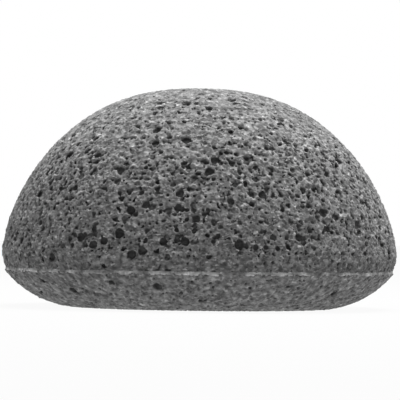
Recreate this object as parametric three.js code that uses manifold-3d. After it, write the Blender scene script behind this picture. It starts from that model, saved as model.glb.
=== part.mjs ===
// Half-ball shaving sponge: a coarse-pored foam dome bonded to a dished, finer base pad.
// Millimetres, +Z up, front towards -Y. The origin is the centre of the flat face that it rests on.
import * as THREE from 'three';
import { mergeVertices } from 'three/addons/utils/BufferGeometryUtils.js';
import Module from 'manifold-3d';

// Driving dimensions of the outline, from the resting face up
const REST_DIAMETER = 48; // flat face on the underside
const BASE_HEIGHT = 7; // resting face to the base pad's flat top
const SEAM_TUCK = 0.9; // how far the seam lies inside the widest girth
const UNDERCUT_HEIGHT = 3.5; // dome's flat underside to the widest girth
const RIM_DIAMETER = 80; // widest girth
const CROWN_RISE = 33.4; // widest girth to the crown
const FLANK_EXPONENT = 1.56; // 2 is an ellipse; less makes the flank straighter
const CROWN_EXPONENT = 2.4; // 2 is an ellipse; more makes the crown flatter

// Bond layer between dome and base pad, whose edge shows as the pale seam line
const BOND_THICKNESS = 0.6;
const BOND_PROUD = 0.4; // how far its rounded edge stands out of the seam

// Largest pores on the front: turn from the front in degrees, share of the dome's height, diameter
const FRONT_PORES = [
  [11, 0.15, 2.1], [-23, 0.2, 2.0], [-19, 0.09, 1.9], [39, 0.32, 1.9], [3, 0.53, 1.9], [-46, 0.07, 1.9],
  [-4, 0.16, 1.8], [29, 0.19, 1.7], [53, 0.26, 1.7], [19, 0.41, 1.6], [-1, 0.28, 1.6], [-16, 0.11, 1.6],
  [-10, 0.16, 1.6], [-16, 0.35, 1.6], [-6, 0.41, 1.6], [-31, 0.14, 1.6], [-27, 0.53, 1.6], [-17, 0.68, 1.6],
];

// Pores scattered over the rest of the surface
const PORE_DIAMETER_LEAST = 1.4;
const PORE_DIAMETER_MOST = 2.1;
const PORE_WALL = 0.8; // least foam left between two pores
const PORE_EDGE_MARGIN = 0.6; // least foam left between a pore and the end of its surface
const DOME_PORE_TRIES = 90; // places tried; those too near another pore are left out
const BASE_PORE_TRIES = 18;
const DOME_PORE_SEED = 11;
const BASE_PORE_SEED = 29;

// Facets
const GIRTH_SEGMENTS = 48;
const CROWN_STEPS = 16; // widest girth to crown
const UNDERCUT_STEPS = 4; // seam to widest girth
const BASE_STEPS = 7; // resting face to seam
const BOND_EDGE_STEPS = 4;
const PORE_DETAIL = 1; // times each edge of an octahedron is split

// Sizes worked out from the driving dimensions
const RIM_RADIUS = RIM_DIAMETER / 2;
const SEAM_RADIUS = RIM_RADIUS - SEAM_TUCK;
const REST_RADIUS = REST_DIAMETER / 2;
const BOND_TOP = BASE_HEIGHT + BOND_THICKNESS;
const RIM_HEIGHT = BOND_TOP + UNDERCUT_HEIGHT;
const CROWN_HEIGHT = RIM_HEIGHT + CROWN_RISE;
const FRONT_AZIMUTH = -90; // degrees from +X

const FOAM = { roughness: 0.95, metalness: 0, flatShading: true };
const domeFoam = new THREE.MeshStandardMaterial({ ...FOAM, color: 0x656565 });
const baseFoam = new THREE.MeshStandardMaterial({ ...FOAM, color: 0x6e6e6e });
const bondGel = new THREE.MeshStandardMaterial({ ...FOAM, color: 0x9c9c9c });

const wasm = await Module();
wasm.setup();

// The dome's radius at a height: a superellipse above the widest girth, below it a parabola to the seam.
function domeRadiusAt(height) {
  if (height < RIM_HEIGHT) {
    return RIM_RADIUS - SEAM_TUCK * ((RIM_HEIGHT - height) / UNDERCUT_HEIGHT) ** 2;
  }
  const rise = Math.min((height - RIM_HEIGHT) / CROWN_RISE, 1);
  return RIM_RADIUS * (1 - rise ** FLANK_EXPONENT) ** (1 / CROWN_EXPONENT);
}

// The base pad's side is one arc that leaves the resting face level and meets the seam.
const BASE_ARC_ANGLE = 2 * Math.atan2(BASE_HEIGHT, SEAM_RADIUS - REST_RADIUS);
const BASE_ARC_RADIUS = BASE_HEIGHT / (1 - Math.cos(BASE_ARC_ANGLE));

function basePoint(angle) {
  const radius = REST_RADIUS + BASE_ARC_RADIUS * Math.sin(angle);
  return new THREE.Vector2(radius, BASE_ARC_RADIUS * (1 - Math.cos(angle)));
}

function baseRadiusAt(height) {
  return basePoint(Math.acos(1 - height / BASE_ARC_RADIUS)).x;
}

// Outlines run from the axis at the bottom, up the outside, to the axis at the top.
function domeOutline() {
  const points = [new THREE.Vector2(0, BOND_TOP)];
  for (let i = 0; i < UNDERCUT_STEPS; i++) {
    const height = BOND_TOP + UNDERCUT_HEIGHT * (i / UNDERCUT_STEPS);
    points.push(new THREE.Vector2(domeRadiusAt(height), height));
  }
  for (let i = 0; i < CROWN_STEPS; i++) {
    const rise = Math.sin((i / CROWN_STEPS) * (Math.PI / 2)) ** (2 / FLANK_EXPONENT);
    const height = RIM_HEIGHT + CROWN_RISE * rise;
    points.push(new THREE.Vector2(domeRadiusAt(height), height));
  }
  points.push(new THREE.Vector2(0, CROWN_HEIGHT));
  return points;
}

function bondOutline() {
  const points = [new THREE.Vector2(0, BASE_HEIGHT)];
  for (let i = 0; i <= BOND_EDGE_STEPS; i++) {
    const turn = Math.PI * (i / BOND_EDGE_STEPS - 0.5);
    const radius = SEAM_RADIUS + BOND_PROUD * Math.cos(turn);
    const height = BASE_HEIGHT + (BOND_THICKNESS / 2) * (1 + Math.sin(turn));
    points.push(new THREE.Vector2(radius, height));
  }
  points.push(new THREE.Vector2(0, BOND_TOP));
  return points;
}

function baseOutline() {
  const points = [new THREE.Vector2(0, 0)];
  for (let i = 0; i <= BASE_STEPS; i++) {
    points.push(basePoint((i / BASE_STEPS) * BASE_ARC_ANGLE));
  }
  points.push(new THREE.Vector2(0, BASE_HEIGHT));
  return points;
}

// A solid of revolution about +Z.
function turned(outline) {
  return new THREE.LatheGeometry(outline, GIRTH_SEGMENTS).rotateX(Math.PI / 2);
}

function solidOf(geometry) {
  const bare = geometry.clone();
  bare.deleteAttribute('normal');
  bare.deleteAttribute('uv');
  const merged = mergeVertices(bare);
  const vertProperties = new Float32Array(merged.attributes.position.array);
  const triVerts = new Uint32Array(merged.index.array);
  return new wasm.Manifold(new wasm.Mesh({ numProp: 3, vertProperties, triVerts }));
}

function geometryOf(solid) {
  const { vertProperties, triVerts } = solid.getMesh();
  const geometry = new THREE.BufferGeometry();
  geometry.setAttribute('position', new THREE.BufferAttribute(vertProperties, 3));
  geometry.setIndex(new THREE.BufferAttribute(triVerts, 1));
  geometry.computeVertexNormals();
  return geometry;
}

// Repeatable stream of numbers from 0 to 1.
function seededStream(seed) {
  let state = seed;
  return () => {
    state = (Math.imul(state, 1664525) + 1013904223) >>> 0;
    return state / 2 ** 32;
  };
}

function poreAt(radiusAt, height, azimuth, diameter) {
  const centre = new THREE.Vector3(radiusAt(height), 0, height);
  centre.applyAxisAngle(new THREE.Vector3(0, 0, 1), azimuth);
  return { centre, radius: diameter / 2 };
}

function frontPores() {
  return FRONT_PORES.map(([turn, share, diameter]) => {
    const height = THREE.MathUtils.lerp(BOND_TOP, CROWN_HEIGHT, share);
    return poreAt(domeRadiusAt, height, THREE.MathUtils.degToRad(FRONT_AZIMUTH + turn), diameter);
  });
}

// Adds scattered pores to those already placed, none nearer to another than the foam wall allows.
function scatterPores({ tries, seed, radiusAt, low, high, placed = [] }) {
  const next = seededStream(seed);
  const pores = [...placed];
  for (let i = 0; i < tries; i++) {
    const diameter = THREE.MathUtils.lerp(PORE_DIAMETER_LEAST, PORE_DIAMETER_MOST, next());
    const margin = diameter / 2 + PORE_EDGE_MARGIN;
    const height = THREE.MathUtils.lerp(low + margin, high - margin, next());
    const pore = poreAt(radiusAt, height, 2 * Math.PI * next(), diameter);
    const gapTo = (other) => other.centre.distanceTo(pore.centre) - other.radius - pore.radius;
    if (pores.every((other) => gapTo(other) >= PORE_WALL)) pores.push(pore);
  }
  return pores;
}

// Cuts the pores out of a foam piece as round open hollows.
function porous(geometry, pores) {
  let solid = solidOf(geometry);
  for (const { centre, radius } of pores) {
    const hollow = new THREE.OctahedronGeometry(radius, PORE_DETAIL);
    solid = solid.subtract(solidOf(hollow.translate(centre.x, centre.y, centre.z)));
  }
  return geometryOf(solid);
}

function dome() {
  const pores = scatterPores({
    tries: DOME_PORE_TRIES,
    seed: DOME_PORE_SEED,
    radiusAt: domeRadiusAt,
    low: BOND_TOP,
    high: CROWN_HEIGHT,
    placed: frontPores(),
  });
  return new THREE.Mesh(porous(turned(domeOutline()), pores), domeFoam);
}

function basePad() {
  const pores = scatterPores({
    tries: BASE_PORE_TRIES,
    seed: BASE_PORE_SEED,
    radiusAt: baseRadiusAt,
    low: 0,
    high: BASE_HEIGHT,
  });
  return new THREE.Mesh(porous(turned(baseOutline()), pores), baseFoam);
}

function bondLayer() {
  return new THREE.Mesh(turned(bondOutline()), bondGel);
}

const sponge = new THREE.Group();
const pieces = { dome: dome(), bond_layer: bondLayer(), base_pad: basePad() };
for (const [name, piece] of Object.entries(pieces)) {
  piece.name = name;
  sponge.add(piece);
}

export default sponge;
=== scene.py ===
"""Half-ball shaving sponge in open-pored grey foam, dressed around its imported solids.

The dome and the base pad are foam: each is a volume whose depth below the sponge's outline is eaten away by
bubbles, then skinned. The pale film between them shows as the seam. Metres, +Z up, front towards -Y.
"""
import math
from functools import partialmethod

import bpy
from bpy.props import FloatProperty, FloatVectorProperty, IntProperty, PointerProperty
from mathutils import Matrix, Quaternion, Vector


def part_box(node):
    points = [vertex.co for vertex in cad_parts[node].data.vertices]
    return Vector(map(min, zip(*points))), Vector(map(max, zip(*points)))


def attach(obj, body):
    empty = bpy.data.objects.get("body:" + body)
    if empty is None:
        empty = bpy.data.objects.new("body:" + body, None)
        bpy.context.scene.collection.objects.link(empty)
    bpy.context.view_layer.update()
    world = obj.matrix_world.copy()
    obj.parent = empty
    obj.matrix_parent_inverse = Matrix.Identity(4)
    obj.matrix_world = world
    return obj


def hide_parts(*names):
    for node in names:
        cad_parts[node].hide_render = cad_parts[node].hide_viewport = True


bl_info = {
    "name": "Shaving Sponge",
    "version": (1, 0, 0),
    "blender": (4, 5, 0),
    "location": "3D View > Sidebar > Sponge",
    "description": "Builds a porous half-ball shaving sponge and a plain studio around it",
    "category": "Add Mesh",
}

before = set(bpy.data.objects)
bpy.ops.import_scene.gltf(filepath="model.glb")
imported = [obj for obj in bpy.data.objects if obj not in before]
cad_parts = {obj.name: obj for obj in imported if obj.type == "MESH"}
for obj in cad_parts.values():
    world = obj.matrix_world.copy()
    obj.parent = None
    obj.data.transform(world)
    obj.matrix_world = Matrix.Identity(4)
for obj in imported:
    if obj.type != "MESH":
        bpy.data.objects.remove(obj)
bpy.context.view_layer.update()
DOME_LOW, DOME_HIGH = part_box("dome")
FILM_LOW, FILM_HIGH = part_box("bond_layer")
BASE_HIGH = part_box("base_pad")[1]

MM = 0.001
BODY = "root"
WHITE = (1, 1, 1, 1)

# Volume that the foam is skinned from; steps are counted in voxels
PORE_ZONE = 2.2 * MM  # depth below the outline that the pores stay within
SKIN_ZONE = 0.5 * MM  # height above the outline that the skin stays within
KEPT_STEPS = 3.0  # on each side of the skin, where its depth is kept
MARGIN_STEPS = 4.0  # room round the foam
FLOOR_STEPS = 1.5  # from the pore zone down to the map's flat floor
HIDDEN_STEPS = 0.3  # faces this near to the flat floor or cap are hidden
FLATTENED_STEPS = 0.5  # whatever is further below the pore zone is laid onto the flat cap
DOME_MAP_RATIO = 1.5  # skin from crown to rim on the map, as a share of the rim's radius
LEAST_RADIUS = 1e-7  # keeps what is divided by a radius finite
LEAST_RATIO = 1e-4  # keeps the slope of the dome's outline finite
ADAPTIVITY = 0.02  # how far flat parts of the mesh are thinned
SHARP_ANGLE = math.radians(65)  # sharper edges are not smoothed
PRESSED_FLAT = 0.05  # share left of the bumps that would go below the floor

# Bubbles and bumps
NOISE_DETAIL = 2.0
NOISE_MEAN = 0.5
SEED_SHIFT = (17.3, 5.1, 9.7)  # cells that the pattern moves by for one step of the seed
FINE_SEED_STEP = 0.37  # sets the fine bubbles apart from the coarse ones
CELL_RANDOMNESS = 0.9
OPENS_WITHIN = 0.9  # a bubble opens through the skin when nearer to it than this share of its radius
NO_BUBBLE = 1.0  # distance given where no bubble is near
DEPTH_SKEW = 2.5  # more makes deep pores rarer
CALM_BUMP = 0.45  # how far calmer foam loses its bumps
CALM_CLOSE = 0.09 * MM  # how far the pores of calmer foam close up
SEAM_CALM_HEIGHT = 5 * MM  # how far from the seam the foam is smoother
EDGE_OVERLAP = 0.9  # how far foam reaches into the seam film, as a share of the bumps there

# Painted shade in the pores and by the seam, painted highlights round the pores, and paleness along the seam
# that is partly the film's colour and partly painted light, kept on the foam's points
SHADE_ATTRIBUTE = "pore_shade"
RIM_ATTRIBUTE = "pore_rim"
# Painted shade in the pores grows with depth below the outline, and starts deeper where the foam is calmer
SHADE_DEPTH = 0.55 * MM  # depth at which a pore is darkest
CALM_SHADE_FROM = 0.45 * MM  # depth in calmer foam above which a pore's walls stay pale
# Painted shade by the seam, where the dome's undercut and the base pad's top under the dome lie in shade
SEAM_SHADE_HEIGHT = 7.5 * MM  # how far from the seam the foam is darker
# Painted highlight on the pores' rims
RIM_WIDTH = 0.25 * MM  # paler foam round a pore
RIM_PALENESS = 0.4
# Paleness along the seam: the film's pale colour carried onto the foam, and painted light over the shaded
# crease there
SEAM_WIDTH = 0.45 * MM  # paler foam along the seam

# Baking map, a square with sides of 1
BAKE_MAP = "OFBake"
BAKE_MIDDLE = (0.5, 0.5, 0.0)
BAKE_HALF = 0.498  # reach of the unrolled skin from the middle
BAKE_CORNER = (0.066, 0.066, 0.0)  # middle of the hidden faces
BAKE_CORNER_SCALE = 1.5  # size on the map of a metre of hidden faces

# Largest pores on the front: turn from the front in degrees, share of the dome's height, diameter in mm
FRONT_PORES = (
    (11, 0.15, 2.1), (-23, 0.20, 2.0), (-19, 0.09, 1.9), (39, 0.32, 1.9), (3, 0.53, 1.9), (-46, 0.07, 1.9),
    (-4, 0.16, 1.8), (29, 0.19, 1.7), (53, 0.26, 1.7), (19, 0.41, 1.6), (-1, 0.28, 1.6), (-16, 0.11, 1.6),
    (-10, 0.16, 1.6), (-16, 0.35, 1.6), (-6, 0.41, 1.6), (-31, 0.14, 1.6), (-27, 0.53, 1.6), (-17, 0.68, 1.6),
)
# Lesser pores that stand out on the front, given in the same way
FRONT_PORES_LESSER = (
    (-10, 0.04, 1.6), (-9, 0.32, 1.5), (43, 0.05, 1.5), (-27, 0.47, 1.5), (-42, 0.50, 1.5), (-14, 0.34, 1.4),
    (-2, 0.35, 1.4), (4, 0.26, 1.4), (21, 0.19, 1.4), (27, 0.27, 1.4), (33, 0.23, 1.4), (-34, 0.14, 1.4),
    (-31, 0.20, 1.4), (-44, 0.43, 1.4), (-37, 0.53, 1.4), (-2, 0.49, 1.4), (1, 0.58, 1.4), (16, 0.58, 1.4),
    (-10, 0.69, 1.4), (14, 0.05, 1.3), (-22, 0.28, 1.3), (13, 0.53, 1.3), (43, 0.30, 1.2), (-22, 0.42, 1.2),
    (-22, 0.66, 1.2), (-5, 0.66, 1.2), (-4, 0.58, 1.2), (21, 0.46, 1.2), (34, 0.50, 1.2), (46, 0.54, 1.1),
)
FRONT_AZIMUTH = -90  # degrees from +X
PORE_DIAMETER_LEAST = 1.4 * MM
PORE_DIAMETER_MOST = 2.1 * MM
PORE_WALL = 0.8 * MM  # least foam left between two pores
PORE_EDGE_MARGIN = 0.6 * MM  # least foam left between a pore and the end of its surface
DOME_PORE_TRIES = 90  # places tried; those too near another pore are left out
BASE_PORE_TRIES = 18
DOME_PORE_SEED = 11
BASE_PORE_SEED = 29
REST_PORE_TRIES = 110  # on the resting face, where pores are smaller
REST_PORE_SEED = 5
REST_PORE_SIZE = 0.7
PORE_SINK = 0.3  # how far a pore's centre lies below the skin, as a share of its radius
LARGE_PORE_WANDER = 1.5  # how far large pores are bent, as a share of the others
LARGE_PORE_DEPTH = 0.9  # depth of a large pore's floor, as a share of its radius
LESSER_PORE_DEPTH = 0.6
STREAM_FACTOR = 1664525  # of the numbers that scatter pores
STREAM_STEP = 1013904223
STREAM_RANGE = 2**32

# Edge of the seam film: noises by their scale in a metre, with the range used and what it becomes
FILM_STEPS = {"Vertices": 1440, "Side Segments": 8, "Fill Segments": 4}
FILM_EDGE_FROM = 0.9999  # share of the radius beyond which a point is on the edge
FILM_BREAKS = 90.0
FILM_BREAK_NOISE = (0.35, 0.5)
FILM_BREAK_PROUD = (0.5, 1.0)
FILM_TATTERS = 900.0
FILM_TATTER_NOISE = (0.38, 0.62)
FILM_TATTER_PROUD = (0.15, 0.7)
FILM_WAVES = 250.0
FILM_LIFT = 0.4  # how far the edge is lifted, as a share of the film's thickness
FILM_FLARE = 0.4  # how far the edge thickens, in the same way

# Finish of the foam, in the same way
GRAIN_SCALE = 1800.0
GRAIN_NOISE = (0.3, 0.7)
GRAIN_LIFT = (0.8, 1.2)
GRAIN_ROUGHNESS = (0.98, 0.8)
GRAIN_STRENGTH = 0.3
GRAIN_HEIGHT = 0.15 * MM
# Pale flecks of the rim colour are painted glints, where light would catch the foam's fibres
FLECK_SCALE = 0.6  # as a share of the grain's
FLECK_NOISE = (0.55, 0.68)
CLOUD_NOISE = (0.35, 0.65)
# Painted shade in the pores turns the tone to the hollow colour
DEEP_SHADE = (0.1, 0.9)  # pore shade from which the hollow's colour begins, and at which it is full
FOAM_SURFACE = {"Specular IOR Level": 0.2, "Sheen Weight": 0.2, "Sheen Roughness": 0.5}

# Stage
FLOOR_HALF = 3.0
FLOOR_WHITE = 0.88  # how far the floor shows as plain white
LAMP_PLACE = (0.075, 0.075, 0.5)
LAMP_SIZE = 0.4


# Properties

def number(name, description, default, **limits):
    return FloatProperty(name=name, description=description, default=default, **limits)


def length(name, description, default):
    return number(name, description, default, unit="LENGTH", subtype="DISTANCE", precision=5)


def share(name, description, default):
    return number(name, description, default, subtype="FACTOR", min=0, max=1)


def whole(name, description, default):
    return IntProperty(name=name, description=description, default=default)


def colour(name, description, grey):
    default = (grey, grey, grey, 1)
    return FloatVectorProperty(
        name=name, description=description, default=default, subtype="COLOR", size=4, min=0, max=1
    )


# Settings of the foam pieces: kind, description, defaults for the dome and for the base pad.
# Those of the shape are also inputs of the foam's trees.
FOAM_SHAPE = {
    "voxel": (length, "Step of the foam volume", 0.2 * MM, 0.2 * MM),
    "coarse_cell": (length, "Mean spacing of the coarse pores", 1.0 * MM, 1.2 * MM),
    "coarse_least": (length, "Least radius of a coarse pore", 0.3 * MM, 0.15 * MM),
    "coarse_most": (length, "Most radius of a coarse pore", 0.72 * MM, 0.45 * MM),
    "coarse_share": (share, "Share of coarse cells that hold a pore", 0.9, 0.5),
    "depth_least": (length, "Least depth of a coarse pore", 0.1 * MM, 0.2 * MM),
    "depth_most": (length, "Most depth of a coarse pore", 1.0 * MM, 0.8 * MM),
    "fine_cell": (length, "Mean spacing of the fine pores", 0.65 * MM, 0.6 * MM),
    "fine_least": (length, "Least radius of a fine pore", 0.2 * MM, 0.14 * MM),
    "fine_most": (length, "Most radius of a fine pore", 0.36 * MM, 0.3 * MM),
    "fine_share": (share, "Share of fine cells that hold a pore", 0.42, 0.9),
    "fine_below": (length, "How far below the skin the fine pores go on", 0.3 * MM, 0.0),
    "lip": (length, "Rounding of the pores' rims", 0.25 * MM, 0.1 * MM),
    "wander": (length, "How far pores are bent out of round", 0.6 * MM, 0.8 * MM),
    "skin_bump": (length, "Height of the bumps on the skin", 0.7 * MM, 1.1 * MM),
    "edge_bump": (length, "Height of the bumps along the seam", 0.4 * MM, 0.4 * MM),
    "calm": (share, "How much smoother the foam is higher up", 0.8, 0.0),
    "seam_calm": (share, "How much smoother the foam is by the seam", 0.5, 0.0),
    # Paleness along the seam is partly the film's colour and partly painted light over the shaded crease
    "seam_pale": (share, "How much paler the foam is along the seam", 0.55, 0.25),
    # Painted shade by the seam, under the dome's undercut and overhang
    "seam_shade": (share, "How much darker the foam is by the seam", 0.53, 0.42),
    "draw": (number, "How far pores are drawn out along the radius", 1.0, 1.6),
    "seed": (whole, "Changes the pattern of pores", 3, 8),
}
FOAM_TONE = {
    "layering": (number, "How far patches are drawn out level", 1.8, 1.0),
    "skin": (colour, "Colour of the foam's skin", 0.138, 0.18),
    # The hollow colour is painted shade deep in the pores
    "hollow": (colour, "Colour deep in the pores", 0.055, 0.07),
    # The rim colour is painted highlight on the pores' rims and in pale flecks, and partly the paleness along
    # the seam
    "rim": (colour, "Colour of the pores' rims", 0.52, 0.4),
    "mottle": (share, "Strength of the pale and dark patches", 0.4, 0.5),
    "mottle_scale": (number, "Patches in a metre", 700, 1000),
}
DOME_DEFAULTS = 0
BASE_DEFAULTS = 1


def titled(name):
    return name.replace("_", " ").title()


def foam_settings(column):
    """Properties of a foam piece, with one column of the defaults."""
    properties = {}
    for name, (kind, description, *defaults) in (FOAM_SHAPE | FOAM_TONE).items():
        properties[name] = kind(titled(name), description, defaults[column])
    return properties


class SpongeOutline(bpy.types.PropertyGroup):
    """Outline that the foam fills."""

    rim_radius: length("Rim Radius", "Half the widest girth", DOME_HIGH.x)
    crown_height: length("Crown Height", "Resting face to crown", DOME_HIGH.z)
    foot_height: length("Foot Height", "Resting face to the dome's flat underside", DOME_LOW.z)
    undercut_height: length("Undercut", "Dome's underside to the widest girth", 3.5 * MM)
    seam_radius: length("Seam Radius", "Half the girth at the seam", BASE_HIGH.x)
    base_height: length("Base Height", "Resting face to the base pad's top", BASE_HIGH.z)
    rest_radius: length("Rest Radius", "Radius of the flat resting face", 24 * MM)
    flank_exponent: number("Flank", "Less makes the flank straighter", 1.56)
    crown_exponent: number("Crown", "More makes the crown flatter", 2.4)


class DomeFoam(bpy.types.PropertyGroup):
    """Pores and tone of the coarse foam."""

    __annotations__ = foam_settings(DOME_DEFAULTS)


class BaseFoam(bpy.types.PropertyGroup):
    """Pores and tone of the finer foam under the seam."""

    __annotations__ = foam_settings(BASE_DEFAULTS)


class SeamFilm(bpy.types.PropertyGroup):
    """Pale film between dome and base pad."""

    low: length("Low", "Height of the film's underside", FILM_LOW.z)
    high: length("High", "Height of the film's top", FILM_HIGH.z)
    reach: length("Reach", "Radius of the film's edge where it stands out most", FILM_HIGH.x)
    skin: colour("Skin", "Colour of the film's edge", 0.4)
    # On the film the hollow colour would be painted shade, but the film holds no shade, so it is not shown.
    # The rim colour shows only as pale flecks, which are painted glints
    hollow: colour("Hollow", "Colour of the film's dents", 0.2)
    rim: colour("Rim", "Colour of the film's ridges", 0.6)
    mottle: share("Mottle", "Strength of the pale and dark patches", 0.5)
    mottle_scale: number("Mottle Scale", "Patches in a metre", 350)


class SpongeStudio(bpy.types.PropertyGroup):
    """Camera, lamp and floor."""

    distance: length("Distance", "Camera to the sponge's axis", 0.6)
    eye_height: length("Eye Height", "Camera above the floor", 15.7 * MM)
    aim_height: length("Aim Height", "Height that the camera looks at", 21.9 * MM)
    field: length("Field", "Width of the picture at the sponge's axis", 81.4 * MM)
    roll: number("Roll", "Lean of the camera", math.radians(0.7), subtype="ANGLE")
    top_watts: number("Top Lamp", "Power of the lamp overhead", 4.2, unit="POWER")
    fill: number("Fill", "Strength of the light from all round", 0.11)
    glow: number("Glow", "Strength of the light from the floor", 0.49)
    floor: colour("Floor", "Colour of the floor", 0.25)


class SpongeSettings(bpy.types.PropertyGroup):
    """All the settings of the sponge."""

    outline: PointerProperty(type=SpongeOutline)
    dome: PointerProperty(type=DomeFoam)
    base: PointerProperty(type=BaseFoam)
    film: PointerProperty(type=SeamFilm)
    studio: PointerProperty(type=SpongeStudio)


# Node wiring

class Wiring:
    """Adds nodes to a tree and links them; a plain value is set on the socket itself."""

    def __init__(self, tree):
        self.tree = tree
        self.entry = None

    def __getitem__(self, name):
        """The tree's own input of this name."""
        return self.entry[name]

    def own(self, names):
        return {name: self.entry[name] for name in names}

    def feed(self, socket, value):
        if isinstance(value, bpy.types.NodeSocket):
            self.tree.links.new(value, socket)
        else:
            socket.default_value = value

    def add(self, kind, inputs=None, **settings):
        node = self.tree.nodes.new(kind)
        for name, value in settings.items():
            setattr(node, name, value)
        for name, value in (inputs or {}).items():
            self.feed(node.inputs[name], value)
        return node

    def compute(self, operation, *values):
        node = self.add("ShaderNodeMath", operation=operation)
        for socket, value in zip(node.inputs, values):
            self.feed(socket, value)
        return node.outputs[0]

    plus = partialmethod(compute, "ADD")
    minus = partialmethod(compute, "SUBTRACT")
    times = partialmethod(compute, "MULTIPLY")
    over = partialmethod(compute, "DIVIDE")
    power = partialmethod(compute, "POWER")
    larger = partialmethod(compute, "MAXIMUM")
    smaller = partialmethod(compute, "MINIMUM")
    above = partialmethod(compute, "GREATER_THAN")
    under = partialmethod(compute, "LESS_THAN")

    def vector(self, operation, *values):
        node = self.add("ShaderNodeVectorMath", operation=operation)
        for socket, value in zip([s for s in node.inputs if s.enabled], values):
            self.feed(socket, value)
        return next(s for s in node.outputs if s.enabled)

    def scaled(self, vector, factor):
        sockets = {"Vector": vector, "Scale": factor}
        return self.add("ShaderNodeVectorMath", sockets, operation="SCALE").outputs[0]

    def split(self, vector):
        return self.add("ShaderNodeSeparateXYZ", {"Vector": vector}).outputs

    def join(self, x, y, z):
        return self.add("ShaderNodeCombineXYZ", {"X": x, "Y": y, "Z": z}).outputs[0]

    def hypot(self, x, y):
        return self.vector("LENGTH", self.join(x, y, 0.0))

    def remap(self, value, low, high, to_low=0.0, to_high=1.0, curve="LINEAR"):
        sockets = {"Value": value, "From Min": low, "From Max": high, "To Min": to_low, "To Max": to_high}
        return self.add("ShaderNodeMapRange", sockets, interpolation_type=curve).outputs[0]

    def noise(self, place, scale):
        sockets = {"Vector": place, "Scale": scale, "Detail": NOISE_DETAIL}
        return self.add("ShaderNodeTexNoise", sockets).outputs

    def call(self, tree, inputs):
        kind = "GeometryNodeGroup" if tree.bl_idname == "GeometryNodeTree" else "ShaderNodeGroup"
        return self.add(kind, inputs, node_tree=tree).outputs

    def give(self, **outputs):
        self.add("NodeGroupOutput", outputs)


def new_tree(kind, name, inputs, outputs):
    """A node tree with named sockets, and the wiring to fill it."""
    tree = bpy.data.node_groups.new(name, kind)
    for in_out, sockets in (("INPUT", inputs), ("OUTPUT", outputs)):
        for socket, socket_type in sockets.items():
            tree.interface.new_socket(socket, in_out=in_out, socket_type="NodeSocket" + socket_type)
    wiring = Wiring(tree)
    wiring.entry = tree.nodes.new("NodeGroupInput").outputs
    return wiring


def place_tree(name, sizes, outputs):
    """A tree of fields at a place, from these sizes."""
    inputs = {"Place": "Vector"} | dict.fromkeys(sizes, "Float")
    return new_tree("GeometryNodeTree", name, inputs, outputs)


def input_sockets(tree):
    """Each input's name and identifier."""
    items = tree.interface.items_tree
    return {i.name: i.identifier for i in items if i.item_type == "SOCKET" and i.in_out == "INPUT"}


def size_names(tree):
    """Names of the sizes that a place tree takes."""
    return [name for name in input_sockets(tree) if name != "Place"]


# Depth below the outline

DEPTH_OUTPUTS = {"Depth": "Float", "Cap": "Float"}
DOME_SIZES = ("Rim Radius", "Rim Height", "Crown Rise", "Flank", "Crown", "Undercut", "Tuck", "Foot")


def dome_depth_tree():
    """Depth below the dome's skin, and height above its flat underside."""
    w = place_tree("Dome Depth", DOME_SIZES, DEPTH_OUTPUTS)
    x, y, z = w.split(w["Place"])
    radius = w.hypot(x, y)
    rim, height, rise = w["Rim Radius"], w["Rim Height"], w["Crown Rise"]
    flank, crown = w["Flank"], w["Crown"]

    # Above the rim: the superellipse's level over its slope
    out = w.larger(w.over(radius, rim), LEAST_RATIO)
    up = w.larger(w.over(w.minus(z, height), rise), LEAST_RATIO)
    level = w.plus(w.minus(w.power(out, crown), 1.0), w.power(up, flank))
    slope_out = w.times(w.power(out, w.minus(crown, 1.0)), w.over(crown, rim))
    slope_up = w.times(w.power(up, w.minus(flank, 1.0)), w.over(flank, rise))
    above = w.over(w.times(level, -1.0), w.hypot(slope_out, slope_up))

    # Below the rim: the distance to a parabola, measured square to it
    drop = w.over(w.minus(height, z), w["Undercut"])
    edge = w.minus(rim, w.times(w["Tuck"], w.times(drop, drop)))
    lean = w.times(drop, w.over(w.times(w["Tuck"], 2.0), w["Undercut"]))
    below = w.over(w.minus(edge, radius), w.hypot(lean, 1.0))

    depth = chosen(w, "FLOAT", w.above(z, height), below, above)
    w.give(Depth=depth, Cap=w.minus(z, w["Foot"]))
    return w.tree


def base_depth_tree():
    """Depth below the base pad's arc and resting face, and depth below its flat top."""
    w = place_tree("Base Depth", ("Rest Radius", "Arc Radius", "Top"), DEPTH_OUTPUTS)
    x, y, z = w.split(w["Place"])
    past_rest = w.larger(w.minus(w.hypot(x, y), w["Rest Radius"]), 0.0)
    from_centre = w.hypot(past_rest, w.minus(w["Arc Radius"], z))
    w.give(Depth=w.minus(w["Arc Radius"], from_centre), Cap=w.minus(w["Top"], z))
    return w.tree


# Skin unrolled onto a flat map: radius along the skin from the axis, then height above the skin

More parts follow.
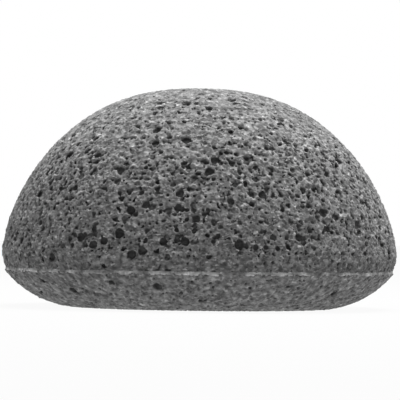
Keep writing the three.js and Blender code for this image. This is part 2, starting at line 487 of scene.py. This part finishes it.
def dome_roll_tree():
    """Place in the dome's frame of a place on the map, moved along the line from the underside's middle."""
    w = place_tree("Dome Roll", (*DOME_SIZES, "Crown Map"), {"Rolled": "Vector"})
    u, v, out = w.split(w["Place"])
    along = w.larger(w.hypot(u, v), LEAST_RADIUS)
    crown_share = w.smaller(w.over(along, w["Crown Map"]), 1.0)
    turn = w.power(crown_share, w.times(w["Crown"], 0.5))
    turn = w.times(turn, math.pi / 2)
    past_rim = w.larger(w.minus(along, w["Crown Map"]), 0.0)
    drop = w.over(past_rim, w["Undercut"])

    radius = w.power(w.compute("SINE", turn), w.over(2.0, w["Crown"]))
    radius = w.times(radius, w["Rim Radius"])
    radius = w.minus(radius, w.times(w["Tuck"], w.times(drop, drop)))
    upright = w.larger(w.compute("COSINE", turn), 0.0)
    rise = w.times(w.power(upright, w.over(2.0, w["Flank"])), w["Crown Rise"])
    rim_above_foot = w.minus(w["Rim Height"], w["Foot"])
    rise = w.minus(w.plus(rise, rim_above_foot), past_rim)

    swell = w.plus(1.0, w.over(out, w.hypot(radius, rise)))
    across = w.over(w.times(radius, swell), along)
    height = w.plus(w["Foot"], w.times(rise, swell))
    w.give(Rolled=w.join(w.times(u, across), w.times(v, across), height))
    return w.tree


def base_roll_tree():
    """Place in the base pad's frame of a place on the map, moved square to the skin. The map faces down."""
    w = place_tree("Base Roll", ("Rest Radius", "Arc Radius"), {"Rolled": "Vector"})
    u, v, out = w.split(w["Place"])
    rest, arc = w["Rest Radius"], w["Arc Radius"]
    along = w.larger(w.hypot(u, v), LEAST_RADIUS)
    angle = w.over(w.larger(w.minus(along, rest), 0.0), arc)
    reach = w.plus(arc, out)
    radius = w.plus(w.smaller(along, rest), w.times(reach, w.compute("SINE", angle)))
    height = w.minus(arc, w.times(reach, w.compute("COSINE", angle)))
    across = w.over(radius, along)
    back = w.times(across, -1.0)
    w.give(Rolled=w.join(w.times(u, across), w.times(v, back), height))
    return w.tree


# Foam

LAYER_SIZES = ("Cell", "Least", "Most", "Share")
LAYER_LIMITS = ("Skin", "Depth Least", "Depth Most", "Below", "Seed", "Draw", "Draw From")
FOAM_INPUTS = {"Large Pores": "Geometry", "Material": "Material"}
FOAM_INPUTS |= dict.fromkeys(map(titled, FOAM_SHAPE), "Float")
FOAM_INPUTS |= dict.fromkeys(("Map Reach", "Cap Height", "Calm From", "Calm To", "Draw From"), "Float")


def chosen(w, kind, switch, off, on):
    sockets = {"Switch": switch, "False": off, "True": on}
    return w.add("GeometryNodeSwitch", sockets, input_type=kind).outputs[0]


def drawn(w, place, start, stretch):
    """Place with its radius beyond start multiplied by stretch."""
    x, y, z = w.split(place)
    radius = w.larger(w.hypot(x, y), LEAST_RADIUS)
    past = w.larger(w.minus(radius, start), 0.0)
    new_radius = w.plus(w.smaller(radius, start), w.times(past, stretch))
    factor = w.over(new_radius, radius)
    return w.join(w.times(x, factor), w.times(y, factor), z)


def pore_layer_tree(depth_tree):
    """Distance to the nearest bubble of one layer, down to its floor, where it opens through the skin."""
    outline = size_names(depth_tree)
    w = place_tree(depth_tree.name + " Pores", (*LAYER_SIZES, *LAYER_LIMITS, *outline), {"Wall": "Float"})
    cell = w["Cell"]
    shift = w.scaled(SEED_SHIFT, w["Seed"])
    cells = w.vector("ADD", w.scaled(w["Place"], w.over(1.0, cell)), shift)
    sockets = {"Vector": cells, "Scale": 1.0, "Randomness": CELL_RANDOMNESS}
    bubble = w.add("ShaderNodeTexVoronoi", sockets).outputs
    size_draw, share_draw, depth_draw = w.split(bubble["Color"])
    radius = w.remap(size_draw, 0.0, 1.0, w["Least"], w["Most"])
    centre = w.scaled(w.vector("SUBTRACT", bubble["Position"], shift), cell)
    centre = drawn(w, centre, w["Draw From"], w["Draw"])
    depth = w.call(depth_tree, {"Place": centre} | w.own(outline))["Depth"]
    meets_skin = w.above(depth, w.times(radius, -OPENS_WITHIN))
    not_buried = w.under(w.minus(depth, w["Below"]), w.times(radius, OPENS_WITHIN))
    opens = w.times(meets_skin, not_buried)
    opens = w.times(opens, w.under(share_draw, w["Share"]))
    wall = w.minus(w.times(bubble["Distance"], cell), radius)
    depth_draw = w.power(depth_draw, DEPTH_SKEW)
    floor = w.remap(depth_draw, 0.0, 1.0, w["Depth Least"], w["Depth Most"])
    wall = w.larger(wall, w.minus(w["Skin"], floor))
    w.give(Wall=chosen(w, "FLOAT", opens, NO_BUBBLE, wall))
    return w.tree


def foam_tree(name, depth_tree, roll_tree):
    """Porous foam that fills an outline.

    The skin is unrolled onto a flat map. A volume over that map holds the depth below the outline, less the
    bubbles. Its zero level becomes a mesh, which is rolled back onto the sponge.
    """
    sizes = dict.fromkeys(size_names(depth_tree) + size_names(roll_tree), "Float")
    w = new_tree("GeometryNodeTree", name, FOAM_INPUTS | sizes, {"Geometry": "Geometry"})
    outline = w.own(size_names(depth_tree))
    voxel = w["Voxel"]
    on_map = w.add("GeometryNodeInputPosition").outputs[0]
    u, v, out = w.split(on_map)
    shallow = w.join(u, v, w.larger(out, -PORE_ZONE))
    place = w.call(roll_tree, {"Place": shallow} | w.own(size_names(roll_tree)))["Rolled"]
    x, y, z = w.split(place)

    # Places bent out of round
    sway = w.noise(place, w.over(1.0, w["Coarse Cell"]))["Color"]
    sway = w.vector("SUBTRACT", sway, (NOISE_MEAN, NOISE_MEAN, NOISE_MEAN))
    bent = w.vector("ADD", place, w.scaled(sway, w["Wander"]))
    bent_more = w.vector("ADD", place, w.scaled(sway, w.times(w["Wander"], LARGE_PORE_WANDER)))
    pressed = drawn(w, bent, w["Draw From"], w.over(1.0, w["Draw"]))

    # Depth below the roughened skin, calmer higher up and by the seam
    at = w.call(depth_tree, {"Place": place} | outline)
    calm = w.remap(z, w["Calm From"], w["Calm To"], 0.0, w["Calm"])
    calm = w.larger(calm, w.remap(at["Cap"], 0.0, SEAM_CALM_HEIGHT, w["Seam Calm"], 0.0))
    rough = w.minus(w.noise(pressed, w.over(1.0, w["Fine Cell"]))["Fac"], NOISE_MEAN)
    bump = w.times(w["Skin Bump"], w.minus(1.0, w.times(calm, CALM_BUMP)))
    skin = w.plus(at["Depth"], w.times(rough, bump))

    # The large pores by their centres, and bubbles of two sizes, cut out of it down to the flat cap
    layer_tree = pore_layer_tree(depth_tree)
    shared = {"Place": pressed, "Skin": skin} | w.own(("Draw", "Draw From")) | outline
    fine = {"Depth Least": PORE_ZONE, "Depth Most": PORE_ZONE, "Below": w["Fine Below"]}
    fine |= {"Seed": w.plus(w["Seed"], FINE_SEED_STEP)}
    coarse = w.own(("Depth Least", "Depth Most", "Seed")) | {"Below": 0.0}
    hollow = large_pore_wall(w, bent_more, skin)
    for layer, limits in (("Fine", fine), ("Coarse", coarse)):
        bubbles = {size: w[f"{layer} {size}"] for size in LAYER_SIZES}
        hollow = w.smaller(w.call(layer_tree, bubbles | limits | shared)["Wall"], hollow)
    hollow = w.plus(hollow, w.times(calm, CALM_CLOSE))
    solid = w.compute("SMOOTH_MIN", skin, hollow, w["Lip"])
    cap = w.plus(at["Cap"], w.times(w.plus(rough, EDGE_OVERLAP), w["Edge Bump"]))
    floor = w.plus(out, w.plus(PORE_ZONE, w.times(voxel, FLOOR_STEPS)))
    flat = w.smaller(cap, floor)
    mesh = without_loose_bits(w, skinned(w, w.smaller(solid, flat)))

    # Painted shade in the pores and by the seam, painted highlights round the pores, paleness along the seam,
    # and place on the baking map
    # Painted shade by the seam, fading with height from it
    seam_shade = w.remap(at["Cap"], 0.0, SEAM_SHADE_HEIGHT, w["Seam Shade"], 0.0)
    shade_from = w.times(calm, CALM_SHADE_FROM)
    shade = w.remap(at["Depth"], shade_from, w.plus(shade_from, SHADE_DEPTH))
    mesh = stored(w, mesh, SHADE_ATTRIBUTE, w.larger(shade, seam_shade), "FLOAT", "POINT")
    # Painted highlight on the pores' rims, where light from above would catch their lips
    by_pore = w.remap(hollow, RIM_WIDTH, 0.0, 0.0, RIM_PALENESS)
    # Paleness along the seam: the film's pale colour carried onto the foam, and painted light over the shaded
    # crease at the film
    from_seam = w.plus(at["Cap"], w.times(rough, SEAM_WIDTH))
    by_seam = w.remap(from_seam, SEAM_WIDTH, 0.0, 0.0, w["Seam Pale"])
    mesh = stored(w, mesh, RIM_ATTRIBUTE, w.larger(by_pore, by_seam), "FLOAT", "POINT")
    hidden = w.under(flat, w.times(voxel, HIDDEN_STEPS))
    mesh = stored(w, mesh, BAKE_MAP, bake_place(w, on_map, place, hidden), "FLOAT2", "CORNER")

    # Rolled back onto the sponge, with the map's floor laid onto the flat cap
    below = w.under(out, w.minus(-PORE_ZONE, w.times(voxel, FLATTENED_STEPS)))
    rested = w.join(x, y, w.larger(z, w.times(z, PRESSED_FLAT)))
    rolled = chosen(w, "VECTOR", below, rested, w.join(x, y, w["Cap Height"]))
    mesh = w.add("GeometryNodeSetPosition", {"Geometry": mesh, "Position": rolled}).outputs[0]
    finish_tree(w, mesh)
    return w.tree


def large_pore_wall(w, place, skin):
    """Distance to the nearest large pore, down to its floor."""
    pores = w["Large Pores"]
    near = w.add("GeometryNodeSampleNearest", {"Geometry": pores, "Sample Position": place}).outputs[0]

    def sampled(field, data_type):
        sockets = {"Geometry": pores, "Index": near, "Value": field}
        return w.add("GeometryNodeSampleIndex", sockets, data_type=data_type).outputs[0]

    def measure(name):
        field = w.add("GeometryNodeInputNamedAttribute", {"Name": name}, data_type="FLOAT").outputs[0]
        return sampled(field, "FLOAT")

    centre = sampled(w.add("GeometryNodeInputPosition").outputs[0], "FLOAT_VECTOR")
    wall = w.minus(w.vector("DISTANCE", place, centre), measure("radius"))
    return w.larger(wall, w.minus(skin, measure("depth")))


def skinned(w, solid):
    """Mesh on the zero level of a field over the map that is positive inside."""
    voxel = w["Voxel"]
    steps = w.smaller(w.larger(w.over(solid, voxel), -KEPT_STEPS), KEPT_STEPS)
    margin = w.times(voxel, MARGIN_STEPS)
    half = w.plus(w["Map Reach"], margin)
    least = w.times(half, -1.0)
    low = w.join(least, least, w.minus(-PORE_ZONE, margin))
    high = w.join(half, half, SKIN_ZONE)
    counts = w.split(w.scaled(w.vector("SUBTRACT", high, low), w.over(1.0, voxel)))
    sockets = {"Density": w.plus(steps, KEPT_STEPS), "Background": 0.0, "Min": low, "Max": high}
    sockets |= {f"Resolution {axis}": count for axis, count in zip("XYZ", counts)}
    volume = w.add("GeometryNodeVolumeCube", sockets).outputs[0]
    sockets = {"Volume": volume, "Threshold": KEPT_STEPS, "Adaptivity": ADAPTIVITY}
    return w.add("GeometryNodeVolumeToMesh", sockets).outputs[0]


def without_loose_bits(w, mesh):
    """Keeps only the largest connected part of a mesh."""
    island = w.add("GeometryNodeInputMeshIsland").outputs["Island Index"]
    count = w.add("GeometryNodeAccumulateField", {"Value": 1.0, "Group ID": island}, data_type="FLOAT")
    total = count.outputs["Total"]
    counts = {"Geometry": mesh, "Attribute": total}
    largest = w.add("GeometryNodeAttributeStatistic", counts, data_type="FLOAT").outputs["Max"]
    loose = w.under(total, largest)
    return w.add("GeometryNodeDeleteGeometry", {"Geometry": mesh, "Selection": loose}).outputs[0]


def stored(w, mesh, name, value, data_type, domain):
    sockets = {"Geometry": mesh, "Name": name, "Value": value}
    node = w.add("GeometryNodeStoreNamedAttribute", sockets, data_type=data_type, domain=domain)
    return node.outputs[0]


def bake_place(w, on_map, place, hidden):
    """Place on the baking map: the unrolled skin as it is, and the hidden faces small in a corner."""
    skin = w.vector("ADD", w.scaled(on_map, w.over(BAKE_HALF, w["Map Reach"])), BAKE_MIDDLE)
    corner = w.vector("ADD", w.scaled(place, BAKE_CORNER_SCALE), BAKE_CORNER)
    face = w.add("GeometryNodeFieldOnDomain", {0: hidden}, domain="FACE", data_type="FLOAT").outputs[0]
    return chosen(w, "VECTOR", face, skin, corner)


def finish_tree(w, mesh):
    """Smooth shading apart from sharp edges, then the material."""
    mesh = w.add("GeometryNodeSetShadeSmooth", {"Geometry": mesh, "Shade Smooth": True}).outputs[0]
    angle = w.add("GeometryNodeInputMeshEdgeAngle").outputs["Unsigned Angle"]
    edges = {"Geometry": mesh, "Selection": w.above(angle, SHARP_ANGLE), "Shade Smooth": False}
    mesh = w.add("GeometryNodeSetShadeSmooth", edges, domain="EDGE").outputs[0]
    mesh = w.add("GeometryNodeRealizeInstances", {"Geometry": mesh}).outputs[0]
    mesh = w.add("GeometryNodeSetMaterial", {"Geometry": mesh, "Material": w["Material"]}).outputs[0]
    w.give(Geometry=mesh)


# Large pores

def seeded_stream(seed):
    """Repeatable stream of numbers from 0 to 1."""
    state = seed
    while True:
        state = (state * STREAM_FACTOR + STREAM_STEP) % STREAM_RANGE
        yield state / STREAM_RANGE


def dome_radius_at(outline, height):
    rim_height = outline.foot_height + outline.undercut_height
    if height < rim_height:
        tuck = outline.rim_radius - outline.seam_radius
        return outline.rim_radius - tuck * ((rim_height - height) / outline.undercut_height) ** 2
    rise = min((height - rim_height) / (outline.crown_height - rim_height), 1)
    return outline.rim_radius * (1 - rise**outline.flank_exponent) ** (1 / outline.crown_exponent)


def base_arc_angle(outline):
    return 2 * math.atan2(outline.base_height, outline.seam_radius - outline.rest_radius)


def base_arc_radius(outline):
    return outline.base_height / (1 - math.cos(base_arc_angle(outline)))


def base_radius_at(outline, height):
    arc = base_arc_radius(outline)
    return outline.rest_radius + arc * math.sin(math.acos(1 - height / arc))


def pore_at(radius, height, azimuth, diameter):
    return Vector((radius * math.cos(azimuth), radius * math.sin(azimuth), height)), diameter / 2


def scattered_pores(tries, seed, place_for, placed=(), size=1):
    """Adds scattered pores to those already placed, none nearer to another than the foam wall allows.

    place_for gives a pore's radius and height on the sponge, for its diameter and a number from 0 to 1.
    """
    stream = seeded_stream(seed)
    pores = list(placed)
    for _ in range(tries):
        diameter = PORE_DIAMETER_LEAST + (PORE_DIAMETER_MOST - PORE_DIAMETER_LEAST) * next(stream)
        reach, height = place_for(diameter, next(stream))
        centre, radius = pore_at(reach, height, 2 * math.pi * next(stream), diameter * size)
        if all((other - centre).length - wide - radius >= PORE_WALL for other, wide in pores):
            pores.append((centre, radius))
    return pores


def flank_place(outline, radius_at, low, high):
    """Where scattered pores go on a flank between two heights."""
    def place_for(diameter, draw):
        margin = diameter / 2 + PORE_EDGE_MARGIN
        height = low + margin + (high - low - 2 * margin) * draw
        return radius_at(outline, height), height
    return place_for


def front_pores(outline, rows):
    pores = []
    for turn, height_share, diameter in rows:
        height = outline.foot_height + (outline.crown_height - outline.foot_height) * height_share
        azimuth = math.radians(FRONT_AZIMUTH + turn)
        pores.append(pore_at(dome_radius_at(outline, height), height, azimuth, diameter * MM))
    return pores


def dome_pores(outline):
    """Centre, radius and depth of the dome's large pores, then of the lesser ones."""
    place_for = flank_place(outline, dome_radius_at, outline.foot_height, outline.crown_height)
    large = scattered_pores(DOME_PORE_TRIES, DOME_PORE_SEED, place_for, front_pores(outline, FRONT_PORES))
    lesser = front_pores(outline, FRONT_PORES_LESSER)
    middle = Vector((0, 0, outline.foot_height + outline.undercut_height))
    sunk = []
    for pores, depth in ((large, LARGE_PORE_DEPTH), (lesser, LESSER_PORE_DEPTH)):
        sunk += [(c + (middle - c).normalized() * r * PORE_SINK, r, r * depth) for c, r in pores]
    return sunk


def base_pores(outline):
    """Centre, radius and depth of the base pad's large pores, smaller on its resting face."""
    place_for = flank_place(outline, base_radius_at, 0, outline.base_height)
    pores = scattered_pores(BASE_PORE_TRIES, BASE_PORE_SEED, place_for)

    def on_rest_face(diameter, draw):
        return outline.rest_radius * math.sqrt(draw), 0

    pores = scattered_pores(REST_PORE_TRIES, REST_PORE_SEED, on_rest_face, pores, REST_PORE_SIZE)
    return [(c + Vector((0, 0, r * PORE_SINK)), r, r * LARGE_PORE_DEPTH) for c, r in pores]


# Pieces

def point_piece(name, pores):
    """An object whose mesh holds the large pores as points, for the foam to grow round."""
    mesh = bpy.data.meshes.new(name)
    mesh.from_pydata([pore[0] for pore in pores], [], [])
    for column, measure in ((1, "radius"), (2, "depth")):
        values = mesh.attributes.new(measure, "FLOAT", "POINT")
        values.data.foreach_set("value", [pore[column] for pore in pores])
    piece = bpy.data.objects.new(name, mesh)
    bpy.context.scene.collection.objects.link(piece)
    return piece


def grow(piece, tree, values):
    """Runs a tree on a piece with these inputs and keeps the result as a plain mesh."""
    modifier = piece.modifiers.new(tree.name, "NODES")
    modifier.node_group = tree
    for name, value in values.items():
        modifier[input_sockets(tree)[name]] = value
    depsgraph = bpy.context.evaluated_depsgraph_get()
    mesh = bpy.data.meshes.new_from_object(
        piece.evaluated_get(depsgraph), preserve_all_data_layers=True, depsgraph=depsgraph
    )
    mesh.name = piece.name
    piece.modifiers.clear()
    piece.data = mesh


def foam_values(name, foam):
    """Inputs of a foam tree from a piece's settings, with its material."""
    values = {titled(setting): float(getattr(foam, setting)) for setting in FOAM_SHAPE}
    return values | {"Material": foam_material(name, foam, foam.draw, foam.layering)}


def settle(piece, node):
    """Ties a finished piece to the frame."""
    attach(piece, BODY)
    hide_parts(node)


class SPONGE_OT_dome(bpy.types.Operator):
    """Grow the coarse-pored dome"""

    bl_idname = "sponge.dome"
    bl_label = "Grow Dome"

    def execute(self, context):
        settings = context.scene.sponge
        outline = settings.outline
        rim_height = outline.foot_height + outline.undercut_height
        values = foam_values("dome_foam", settings.dome)
        values |= {
            "Rim Radius": outline.rim_radius,
            "Rim Height": rim_height,
            "Crown Rise": outline.crown_height - rim_height,
            "Flank": outline.flank_exponent,
            "Crown": outline.crown_exponent,
            "Undercut": outline.undercut_height,
            "Tuck": outline.rim_radius - outline.seam_radius,
            "Foot": outline.foot_height,
            "Cap Height": outline.foot_height,
            "Draw From": outline.rim_radius,
            "Calm From": (rim_height + outline.crown_height) / 2,
            "Calm To": outline.crown_height,
            "Crown Map": DOME_MAP_RATIO * outline.rim_radius,
            "Map Reach": DOME_MAP_RATIO * outline.rim_radius + outline.undercut_height,
        }
        piece = point_piece("foam_dome", dome_pores(outline))
        grow(piece, foam_tree("Dome Foam", dome_depth_tree(), dome_roll_tree()), values)
        settle(piece, "dome")
        return {"FINISHED"}


class SPONGE_OT_base(bpy.types.Operator):
    """Grow the finer, drawn base pad"""

    bl_idname = "sponge.base"
    bl_label = "Grow Base Pad"

    def execute(self, context):
        settings = context.scene.sponge
        outline = settings.outline
        arc_radius = base_arc_radius(outline)
        values = foam_values("base_foam", settings.base)
        values |= {
            "Rest Radius": outline.rest_radius,
            "Arc Radius": arc_radius,
            "Top": outline.base_height,
            "Cap Height": outline.base_height,
            "Draw From": outline.rest_radius,
            "Calm From": 0.0,
            "Calm To": outline.base_height,
            "Map Reach": outline.rest_radius + arc_radius * base_arc_angle(outline),
        }
        piece = point_piece("foam_base", base_pores(outline))
        grow(piece, foam_tree("Base Foam", base_depth_tree(), base_roll_tree()), values)
        settle(piece, "base_pad")
        return {"FINISHED"}


def film_tree():
    """A thin disc with a rounded, ragged edge."""
    inputs = {"Geometry": "Geometry", "Material": "Material"}
    inputs |= dict.fromkeys(("Radius", "Proud", "Low", "High"), "Float")
    w = new_tree("GeometryNodeTree", "Seam Film", inputs, {"Geometry": "Geometry"})
    thickness = w.minus(w["High"], w["Low"])
    sizes = FILM_STEPS | {"Radius": w["Radius"], "Depth": thickness}
    disc = w.add("GeometryNodeMeshCylinder", sizes).outputs["Mesh"]
    place = w.add("GeometryNodeInputPosition").outputs[0]
    x, y, z = w.split(place)
    around = w.join(x, y, 0.0)
    on_edge = w.above(w.vector("LENGTH", around), w.times(w["Radius"], FILM_EDGE_FROM))

    # How far the edge stands out
    across = w.over(z, w.times(thickness, 0.5))
    bulge = w.compute("SQRT", w.larger(w.minus(1.0, w.times(across, across)), 0.0))
    broken = w.remap(w.noise(around, FILM_BREAKS)["Fac"], *FILM_BREAK_NOISE, *FILM_BREAK_PROUD)
    ragged = w.remap(w.noise(place, FILM_TATTERS)["Fac"], *FILM_TATTER_NOISE, *FILM_TATTER_PROUD)
    proud = w.times(w.times(broken, ragged), w.times(bulge, w["Proud"]))
    shift = w.scaled(w.vector("NORMALIZE", around), w.times(proud, on_edge))

    # How far it wavers up and down
    waver = w.times(w.minus(w.noise(around, FILM_WAVES)["Fac"], NOISE_MEAN), thickness)
    waver = w.plus(waver, w.times(thickness, FILM_LIFT))
    flare = w.times(on_edge, w.plus(w.times(z, FILM_FLARE), waver))
    middle = w.times(w.plus(w["Low"], w["High"]), 0.5)
    offset = w.vector("ADD", shift, w.join(0.0, 0.0, w.plus(middle, flare)))
    mesh = w.add("GeometryNodeSetPosition", {"Geometry": disc, "Offset": offset}).outputs[0]
    finish_tree(w, mesh)
    return w.tree


class SPONGE_OT_seam(bpy.types.Operator):
    """Lay the pale film between dome and base pad"""

    bl_idname = "sponge.seam"
    bl_label = "Lay Seam Film"

    def execute(self, context):
        settings = context.scene.sponge
        outline, film = settings.outline, settings.film
        piece = point_piece("seam_film", [])
        values = {
            "Material": foam_material("bond_film", film),
            "Radius": outline.seam_radius,
            "Proud": film.reach - outline.seam_radius,
            "Low": film.low,
            "High": film.high,
        }
        grow(piece, film_tree(), values)
        settle(piece, "bond_layer")
        return {"FINISHED"}


# Finish

def foam_tone_tree():
    """Mottled grey foam with painted shade in its pores, painted highlights on their rims and in pale flecks:
    colour, roughness, grain height.
    """
    inputs = dict.fromkeys(("Skin", "Hollow", "Rim"), "Color")
    inputs |= dict.fromkeys(("Deep", "Edge", "Mottle", "Mottle Scale", "Grain Scale"), "Float")
    inputs |= dict.fromkeys(("Draw", "Draw From", "Layering"), "Float")
    outputs = {"Color": "Color", "Roughness": "Float", "Height": "Float"}
    w = new_tree("ShaderNodeTree", "Foam Tone", inputs, outputs)
    place = w.add("ShaderNodeTexCoord").outputs["Object"]
    place = drawn(w, place, w["Draw From"], w.over(1.0, w["Draw"]))
    place = w.vector("MULTIPLY", place, w.join(1.0, 1.0, w["Layering"]))
    cloud = w.noise(place, w["Mottle Scale"])["Fac"]
    grain = w.noise(place, w["Grain Scale"])["Fac"]
    # Pale flecks are painted glints. With the painted rim highlights and the seam paleness, they turn the
    # tone towards the rim colour
    fleck = w.noise(place, w.times(w["Grain Scale"], FLECK_SCALE))["Fac"]
    pale = w.larger(w["Edge"], w.remap(fleck, *FLECK_NOISE))
    tone = mixed(w, pale, w["Skin"], w["Rim"])
    # Painted shade towards the hollow colour, deep in the pores and by the seam
    deep = w.remap(w["Deep"], *DEEP_SHADE, curve="SMOOTHSTEP")
    tone = mixed(w, deep, tone, w["Hollow"])
    mottle = w.remap(cloud, *CLOUD_NOISE, w.minus(1.0, w["Mottle"]), w.plus(1.0, w["Mottle"]))
    lift = w.times(mottle, w.remap(grain, *GRAIN_NOISE, *GRAIN_LIFT))
    roughness = w.remap(grain, *GRAIN_NOISE, *GRAIN_ROUGHNESS)
    w.give(Color=w.scaled(tone, lift), Roughness=roughness, Height=grain)
    return w.tree


def mixed(w, factor, first, second):
    """Blend of two colours."""
    node = w.add("ShaderNodeMix", data_type="RGBA")
    sockets = {socket.name: socket for socket in node.inputs if socket.enabled}
    for name, value in {"Factor": factor, "A": first, "B": second}.items():
        w.feed(sockets[name], value)
    return next(socket for socket in node.outputs if socket.enabled)


def foam_material(name, tones, draw=1.0, layering=1.0):
    """Matte foam: soft sheen on the skin, grain in the bump, painted shade in the pores and painted
    highlights on their rims.
    """
    material = bpy.data.materials.new(name)
    material.use_nodes = True
    w = Wiring(material.node_tree)
    values = {
        "Skin": tones.skin,
        "Hollow": tones.hollow,
        "Rim": tones.rim,
        "Deep": w.add("ShaderNodeAttribute", attribute_name=SHADE_ATTRIBUTE).outputs["Fac"],
        "Edge": w.add("ShaderNodeAttribute", attribute_name=RIM_ATTRIBUTE).outputs["Fac"],
        "Mottle": tones.mottle,
        "Mottle Scale": tones.mottle_scale,
        "Grain Scale": GRAIN_SCALE,
        "Draw": draw,
        "Layering": layering,
        "Draw From": bpy.context.scene.sponge.outline.rest_radius,
    }
    tone = w.call(bpy.data.node_groups.get("Foam Tone") or foam_tone_tree(), values)
    grain ={"Height": tone["Height"], "Strength": GRAIN_STRENGTH, "Distance": GRAIN_HEIGHT}
    bump = w.add("ShaderNodeBump", grain).outputs[0]
    surface = {"Base Color": tone["Color"], "Roughness": tone["Roughness"], "Normal": bump}
    principled = material.node_tree.nodes["Principled BSDF"]
    for socket, value in (surface | FOAM_SURFACE).items():
        w.feed(principled.inputs[socket], value)
    return material


# Stage

def hang_lamp(aim, watts):
    data = bpy.data.lights.new("top_lamp", "AREA")
    data.shape = "DISK"
    data.size = LAMP_SIZE
    data.energy = watts
    item = bpy.data.objects.new("top_lamp", data)
    item.location = LAMP_PLACE
    item.rotation_euler = (aim - Vector(LAMP_PLACE)).to_track_quat("-Z", "Y").to_euler()
    item.visible_camera = False
    bpy.context.scene.collection.objects.link(item)


def seen_white(w):
    """1 where a ray comes from the camera, a reflection or glass."""
    path = w.add("ShaderNodeLightPath").outputs
    seen = w.larger(path["Is Camera Ray"], path["Is Glossy Ray"])
    return w.larger(seen, path["Is Transmission Ray"])


def floor_material(settings):
    """Pale floor that shows nearly white and keeps a soft shadow."""
    material = bpy.data.materials.new("floor")
    material.use_nodes = True
    w = Wiring(material.node_tree)
    nodes = material.node_tree.nodes
    paper = nodes["Principled BSDF"]
    paper.inputs["Base Color"].default_value = settings.floor
    paper.inputs["Roughness"].default_value = 1.0
    white = w.add("ShaderNodeEmission", {"Color": WHITE, "Strength": 1.0})
    glow = w.add("ShaderNodeEmission", {"Color": WHITE, "Strength": settings.glow})
    lit = w.add("ShaderNodeAddShader", {0: paper.outputs[0], 1: glow.outputs[0]})
    share_seen = w.times(seen_white(w), FLOOR_WHITE)
    blend = w.add("ShaderNodeMixShader", {0: share_seen, 1: lit.outputs[0], 2: white.outputs[0]})
    w.feed(nodes["Material Output"].inputs["Surface"], blend.outputs[0])
    return material


def white_world(settings):
    """Light from all round, which shows as plain white."""
    world = bpy.data.worlds.new("studio")
    world.use_nodes = True
    w = Wiring(world.node_tree)
    nodes = world.node_tree.nodes
    light = nodes["Background"]
    light.inputs["Color"].default_value = WHITE
    light.inputs["Strength"].default_value = settings.fill
    white = w.add("ShaderNodeBackground", {"Color": WHITE, "Strength": 1.0})
    blend = w.add("ShaderNodeMixShader", {0: seen_white(w), 1: light.outputs[0], 2: white.outputs[0]})
    w.feed(nodes["World Output"].inputs["Surface"], blend.outputs[0])
    return world


class SPONGE_OT_stage(bpy.types.Operator):
    """Set up the floor, lamp and camera"""

    bl_idname = "sponge.stage"
    bl_label = "Set Up Stage"

    def execute(self, context):
        scene = context.scene
        settings = scene.sponge.studio
        half = FLOOR_HALF
        corners = [(-half, -half, 0), (half, -half, 0), (half, half, 0), (-half, half, 0)]
        mesh = bpy.data.meshes.new("floor")
        mesh.from_pydata(corners, [], [(0, 1, 2, 3)])
        mesh.materials.append(floor_material(settings))
        floor = bpy.data.objects.new("floor", mesh)
        scene.collection.objects.link(floor)
        scene.world = white_world(settings)
        aim = Vector((0, 0, settings.aim_height))
        hang_lamp(aim, settings.top_watts)
        self.place_camera(scene, settings, aim)
        scene.view_settings.view_transform = "Standard"
        return {"FINISHED"}

    def place_camera(self, scene, settings, aim):
        data = bpy.data.cameras.new("camera")
        data.lens = data.sensor_width * settings.distance / settings.field
        camera = bpy.data.objects.new("camera", data)
        camera.location = (0, -settings.distance, settings.eye_height)
        turn = (aim - camera.location).to_track_quat("-Z", "Y") @ Quaternion((0, 0, 1), settings.roll)
        camera.rotation_euler = turn.to_euler()
        scene.collection.objects.link(camera)
        scene.camera = camera


class SPONGE_PT_panel(bpy.types.Panel):
    """Buttons and settings of the sponge"""

    bl_idname = "SPONGE_PT_panel"
    bl_label = "Shaving Sponge"
    bl_space_type = "VIEW_3D"
    bl_region_type = "UI"
    bl_category = "Sponge"

    def draw(self, context):
        for operator in OPERATORS:
            self.layout.operator(operator.bl_idname)
        settings = context.scene.sponge
        for group in ("outline", "dome", "base", "film", "studio"):
            column = self.layout.box().column()
            column.label(text=group.title())
            values = getattr(settings, group)
            for name in values.__annotations__:
                column.prop(values, name)


GROUPS = (SpongeOutline, DomeFoam, BaseFoam, SeamFilm, SpongeStudio, SpongeSettings)
OPERATORS = (SPONGE_OT_dome, SPONGE_OT_base, SPONGE_OT_seam, SPONGE_OT_stage)
CLASSES = (*GROUPS, *OPERATORS, SPONGE_PT_panel)


def register():
    for cls in CLASSES:
        bpy.utils.register_class(cls)
    bpy.types.Scene.sponge = PointerProperty(type=SpongeSettings)


def unregister():
    del bpy.types.Scene.sponge
    for cls in reversed(CLASSES):
        bpy.utils.unregister_class(cls)


def main():
    register()
    bpy.ops.sponge.stage()
    bpy.ops.sponge.dome()
    bpy.ops.sponge.base()
    bpy.ops.sponge.seam()


if __name__ == "__main__":
    main()
